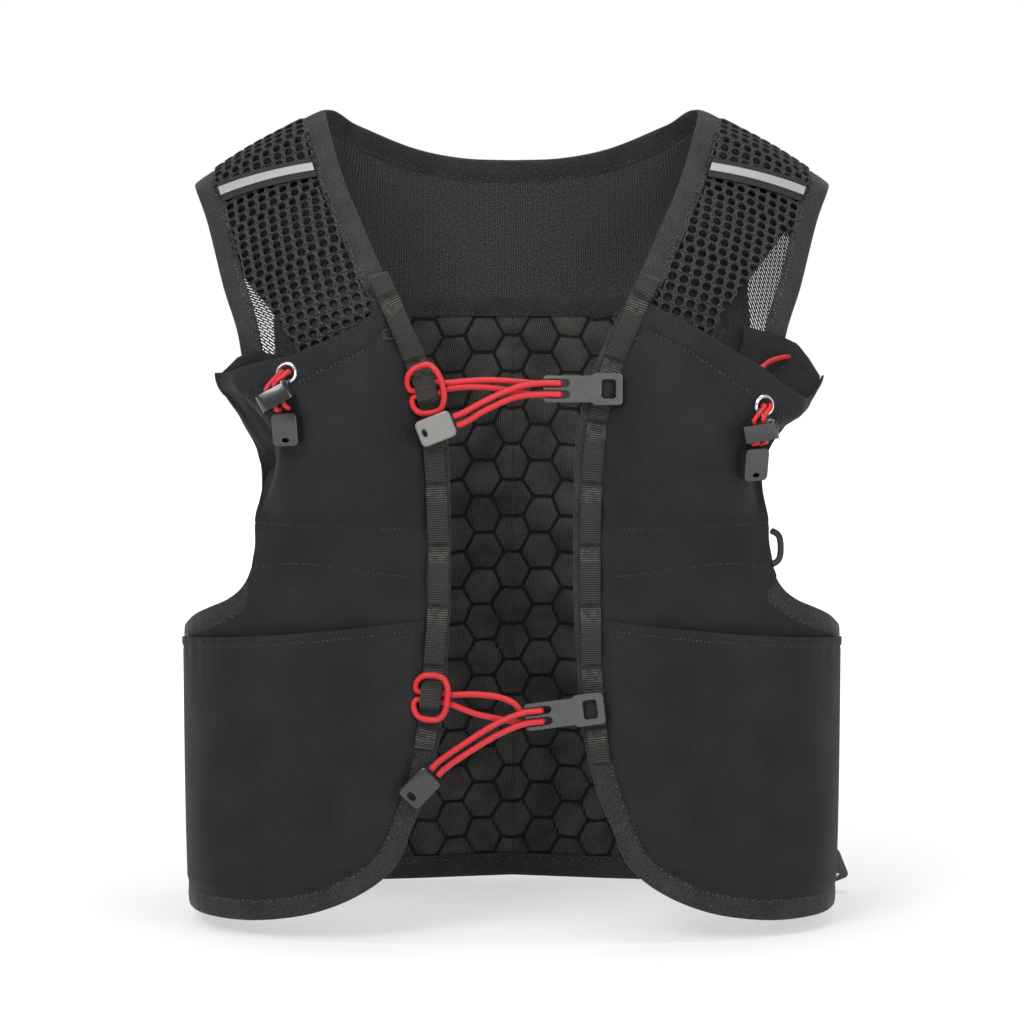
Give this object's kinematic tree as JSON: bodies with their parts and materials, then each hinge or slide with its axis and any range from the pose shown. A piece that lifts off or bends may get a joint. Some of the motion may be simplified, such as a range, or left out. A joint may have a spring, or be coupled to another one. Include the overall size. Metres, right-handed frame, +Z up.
{
  "type": "running hydration vest",
  "caption": "Open-front running vest with mesh shoulder straps, stretch chest and lower pockets, padded mesh back, webbing ladders and sternum cords with hooks.",
  "frame": {"origin": "the point midway between the shoulders, at the height of the straps' underside, where the vest rests on its wearer", "axes": "+Z up, -Y the open front, +X the side that is on the right seen from the front"},
  "size_m": [0.3464, 0.223, 0.4127],
  "materials": {
    "shell_fabric": "matt stretch weave",
    "binding_tape": "folded stretch tape, stitched",
    "spacer_mesh": "open spacer mesh",
    "yoke_knit": "fine knit",
    "hex_mesh": "padded mesh embossed with hexagons",
    "webbing": "ribbed webbing",
    "carrier_tape": "flat black tape",
    "reflective": "silver reflective film on cloth",
    "red_cord": "braided elastic cord",
    "black_cord": "braided elastic cord",
    "black_plastic": "moulded, semi-gloss",
    "buckle_plastic": "moulded, satin",
    "cord_end_plastic": "moulded, satin",
    "eyelet_metal": "polished"
  },
  "bodies": {
    "root": {"armhole_binding_left": "binding_tape", "armhole_binding_right": "binding_tape", "back_hem_binding": "binding_tape", "back_panel": "hex_mesh", "back_yoke": "yoke_knit", "chest_pocket_left": "shell_fabric", "chest_pocket_right": "shell_fabric", "cinch_cord_left_a": "red_cord", "cinch_cord_left_b": "red_cord", "cinch_cord_right_a": "red_cord", "cinch_cord_right_b": "red_cord", "cinch_end_left": "cord_end_plastic", "cinch_end_right": "cord_end_plastic", "cord_end_lower": "cord_end_plastic", "cord_end_upper": "cord_end_plastic", "cord_lock_left": "black_plastic", "cord_lock_right": "black_plastic", "cord_tail_lower_a": "red_cord", "cord_tail_lower_b": "red_cord", "cord_tail_upper_a": "red_cord", "cord_tail_upper_b": "red_cord", "daisy_chain_left": "webbing", "daisy_chain_right": "webbing", "eyelet_left": "eyelet_metal", "eyelet_right": "eyelet_metal", "front_binding_left": "binding_tape", "front_binding_right": "binding_tape", "front_panel_left": "shell_fabric", "front_panel_right": "shell_fabric", "lower_pocket_left": "shell_fabric", "lower_pocket_right": "shell_fabric", "mouth_cord_right": "red_cord", "neck_binding": "binding_tape", "pocket_back_left": "shell_fabric", "pocket_back_right": "shell_fabric", "reflective_strip_left": "reflective", "reflective_strip_right": "reflective", "shoulder_strap_left": "spacer_mesh", "shoulder_strap_right": "spacer_mesh", "side_cord_right": "black_cord", "side_end_right": "cord_end_plastic", "side_loop_right": "black_cord", "side_panel_left": "shell_fabric", "side_panel_right": "shell_fabric", "sternum_cord_lower": "red_cord", "sternum_cord_upper": "red_cord", "sternum_hook_lower": "buckle_plastic", "sternum_hook_upper": "buckle_plastic", "strip_tape_left": "carrier_tape", "strip_tape_right": "carrier_tape", "yoke_seam_tape": "carrier_tape"}
  },
  "joints": []
}
